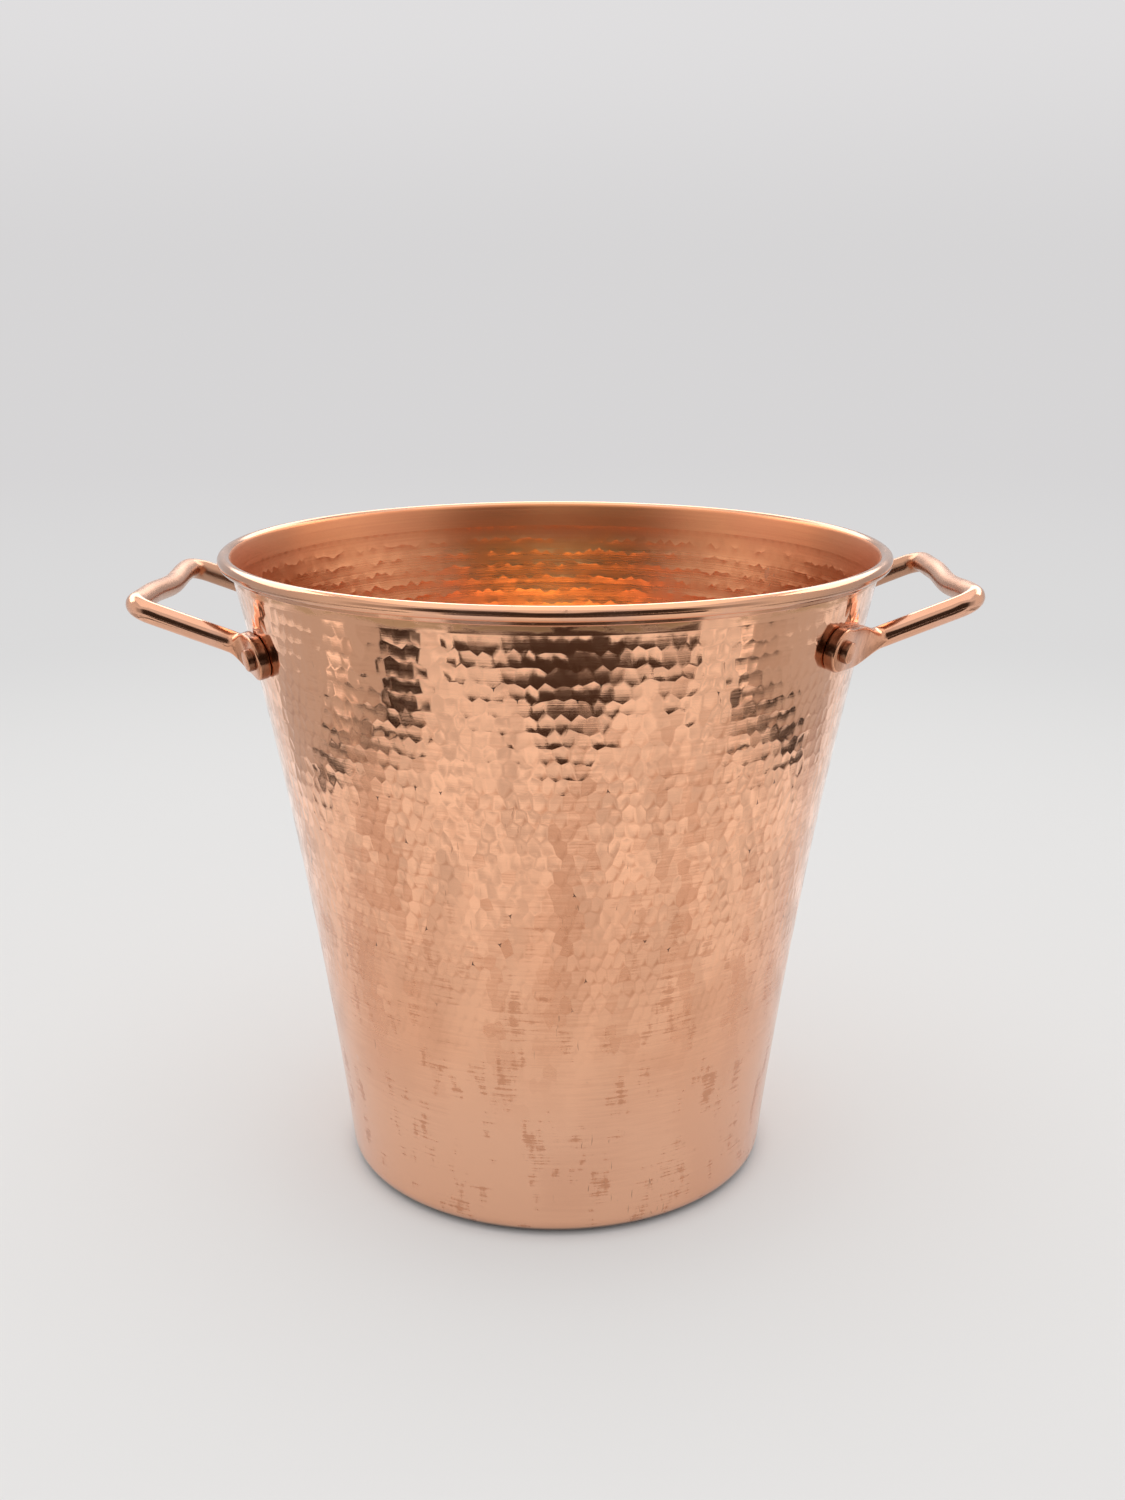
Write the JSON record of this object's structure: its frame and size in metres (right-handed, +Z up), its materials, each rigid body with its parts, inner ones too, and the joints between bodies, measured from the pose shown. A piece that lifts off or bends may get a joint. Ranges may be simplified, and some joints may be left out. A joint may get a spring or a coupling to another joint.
{
  "type": "copper bucket",
  "caption": "Tapered hammered copper bucket with a wired rolled rim and riveted rod handles, for ice, bottles or kindling.",
  "frame": {"origin": "middle of the base, on the surface that the bucket stands on", "axes": "+Z up, +X through the right handle, the front faces -Y"},
  "size_m": [0.2726, 0.22, 0.214],
  "materials": {
    "hammered_copper": "polished copper sheet, hammered, worn and lightly patinated",
    "wire_copper": "drawn copper wire, hidden inside the roll",
    "handle_copper": "polished copper rod, forged at the feet",
    "rivet_copper": "copper rivet, closed with a hammer"
  },
  "bodies": {
    "root": {"bucket_shell": "hammered_copper", "rim_wire": "wire_copper", "left_handle": "handle_copper", "right_handle": "handle_copper", "left_front_rivet": "rivet_copper", "left_rear_rivet": "rivet_copper", "right_front_rivet": "rivet_copper", "right_rear_rivet": "rivet_copper"}
  },
  "joints": []
}
